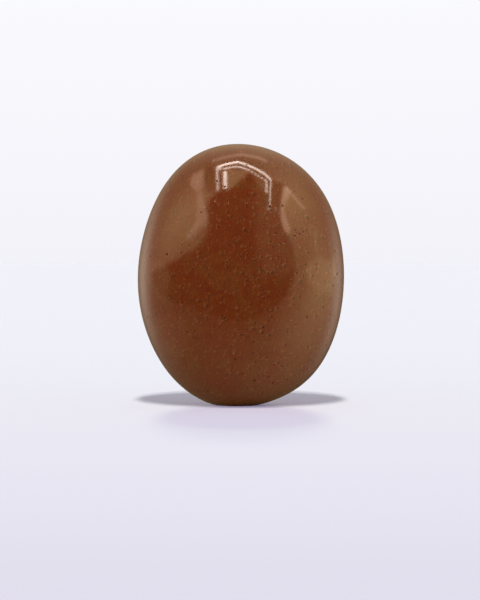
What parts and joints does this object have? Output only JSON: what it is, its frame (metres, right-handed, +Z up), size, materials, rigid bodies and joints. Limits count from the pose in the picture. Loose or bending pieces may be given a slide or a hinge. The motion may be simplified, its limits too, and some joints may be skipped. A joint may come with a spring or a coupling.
{
  "type": "polished sunstone",
  "caption": "Smooth egg-like oval stone, a little fuller at its shoulders and lower right, that stands upright on a small flat spot.",
  "frame": {"origin": "middle of the stone's width and depth, at the level of the flat spot that it stands on", "axes": "+Z up through the stone's long way, +Y through its thickness from the broad front to the back, +X across its width to the right as seen from the front"},
  "size_m": [0.0316, 0.0274, 0.04],
  "materials": {
    "polished_sunstone": "polished"
  },
  "bodies": {
    "root": {"stone": "polished_sunstone"}
  },
  "joints": []
}
